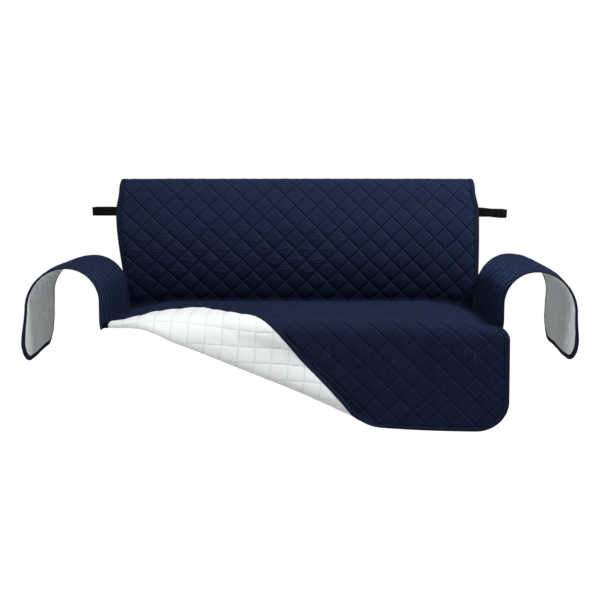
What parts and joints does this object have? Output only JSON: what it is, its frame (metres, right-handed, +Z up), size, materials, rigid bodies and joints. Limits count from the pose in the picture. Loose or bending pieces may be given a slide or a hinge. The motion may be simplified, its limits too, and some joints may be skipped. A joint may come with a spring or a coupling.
{
  "type": "loveseat slipcover",
  "caption": "Reversible quilted cover for a two-seat sofa, with arm panels and an elastic strap behind the back.",
  "frame": {"origin": "underside of the band that lies over the top of the sofa's back, at mid-width", "axes": "+X to the right as seen from the front, +Y to the rear, +Z up"},
  "size_m": [1.6338, 0.8304, 0.7321],
  "materials": {
    "navy_cloth": "matte brushed microfibre, quilted",
    "pale_cloth": "matte brushed microfibre, quilted",
    "binding_tape": "matte woven tape",
    "elastic": "ribbed woven elastic"
  },
  "bodies": {
    "root": {"main_panel_face": "navy_cloth", "main_panel_reverse": "pale_cloth", "front_binding": "binding_tape", "rear_binding": "binding_tape", "left_arm_face": "navy_cloth", "left_arm_reverse": "pale_cloth", "left_arm_binding": "binding_tape", "right_arm_face": "navy_cloth", "right_arm_reverse": "pale_cloth", "right_arm_binding": "binding_tape", "strap": "elastic"}
  },
  "joints": []
}
